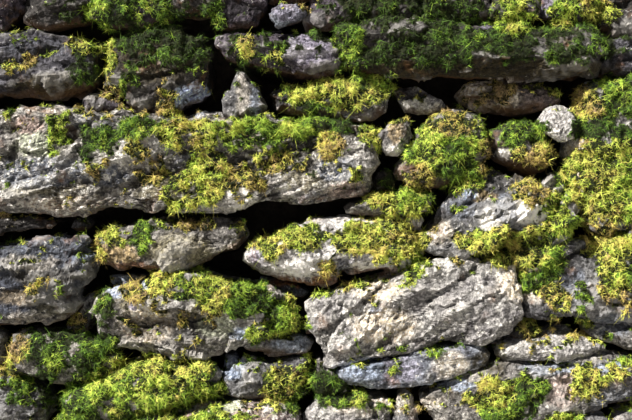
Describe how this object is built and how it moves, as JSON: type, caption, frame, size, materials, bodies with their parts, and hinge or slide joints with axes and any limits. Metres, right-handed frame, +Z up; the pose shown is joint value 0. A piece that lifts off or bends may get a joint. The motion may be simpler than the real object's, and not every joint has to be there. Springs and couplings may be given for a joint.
{
  "type": "dry stone wall",
  "caption": "Free-standing double-faced dry stone wall of rough mossy field stone, battered, with through stones, tied ends, cover slabs and upright copes.",
  "frame": {"origin": "centre of the wall's footprint, on the ground", "axes": "+X along the wall, -Y out of the mossy face, +Z up"},
  "size_m": [2.4, 0.8082, 1.5406],
  "materials": {
    "weathered_stone": "rough, weathered gritty stone, bare to lightly lichened",
    "mossy_stone": "rough stone under cushions and mats of moss",
    "pale_stone": "rough bleached stone with pale lichen",
    "dark_stone": "rough dark stone with damp stains",
    "hearting_rubble": "packed rubble with soil in the joints"
  },
  "bodies": {
    "root": {"hearting": "hearting_rubble", "through_stones": "weathered_stone", "front_course_1": "weathered_stone", "front_course_2": "mossy_stone", "front_course_3": "pale_stone", "front_course_4": "pale_stone", "front_course_5": "mossy_stone", "front_course_6": "mossy_stone", "front_course_7": "weathered_stone", "front_course_8": "mossy_stone", "front_course_9": "dark_stone", "front_pins": "pale_stone", "back_course_1": "weathered_stone", "back_course_2": "weathered_stone", "back_course_3": "weathered_stone", "back_course_4": "weathered_stone", "back_course_5": "weathered_stone", "back_course_6": "weathered_stone", "back_course_7": "weathered_stone", "back_course_8": "weathered_stone", "back_course_9": "weathered_stone", "left_end_ties": "weathered_stone", "left_end_runners": "weathered_stone", "left_end_fill": "dark_stone", "right_end_ties": "weathered_stone", "right_end_runners": "weathered_stone", "right_end_fill": "dark_stone", "cover_slabs": "weathered_stone", "cope_stones": "dark_stone"}
  },
  "joints": []
}
